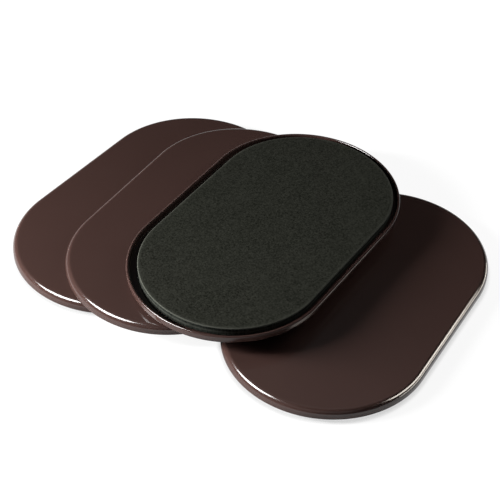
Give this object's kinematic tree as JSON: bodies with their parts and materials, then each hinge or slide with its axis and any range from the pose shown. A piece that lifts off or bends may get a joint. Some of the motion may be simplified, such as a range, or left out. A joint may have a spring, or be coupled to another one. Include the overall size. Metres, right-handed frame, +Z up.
{
  "type": "furniture slider set",
  "caption": "Set of oblong furniture sliders, fanned and stacked: shallow glossy trays with a round-edged sliding face, each holding a foam rubber pad that a furniture leg stands on.",
  "frame": {"origin": "on the floor, under the middle of the box that the whole set takes", "axes": "+Z up off the floor, +X to the right across the fan, +Y to the back, as the picture shows the set"},
  "size_m": [0.346, 0.3138, 0.0277],
  "materials": {
    "brown_plastic": "satin",
    "adhesive": "matte",
    "foam_rubber": "matte"
  },
  "bodies": {
    "left_slider": {"left_tray": "brown_plastic", "left_film": "adhesive", "left_pad": "foam_rubber"},
    "right_slider": {"right_tray": "brown_plastic", "right_film": "adhesive", "right_pad": "foam_rubber"},
    "middle_slider": {"middle_tray": "brown_plastic", "middle_film": "adhesive", "middle_pad": "foam_rubber"},
    "top_slider": {"top_tray": "brown_plastic", "top_film": "adhesive", "top_pad": "foam_rubber"}
  },
  "joints": [
    {"name": "right_slide", "type": "slide", "parent": "left_slider", "child": "right_slider", "axis": [0.8788, -0.4772, 0], "range_m": [0, 0.1]},
    {"name": "middle_lift", "type": "slide", "parent": "left_slider", "child": "middle_slider", "axis": [0, 0, 1], "range_m": [0, 0.06]},
    {"name": "top_lift", "type": "slide", "parent": "middle_slider", "child": "top_slider", "axis": [0, 0, 1], "range_m": [0, 0.06]}
  ]
}
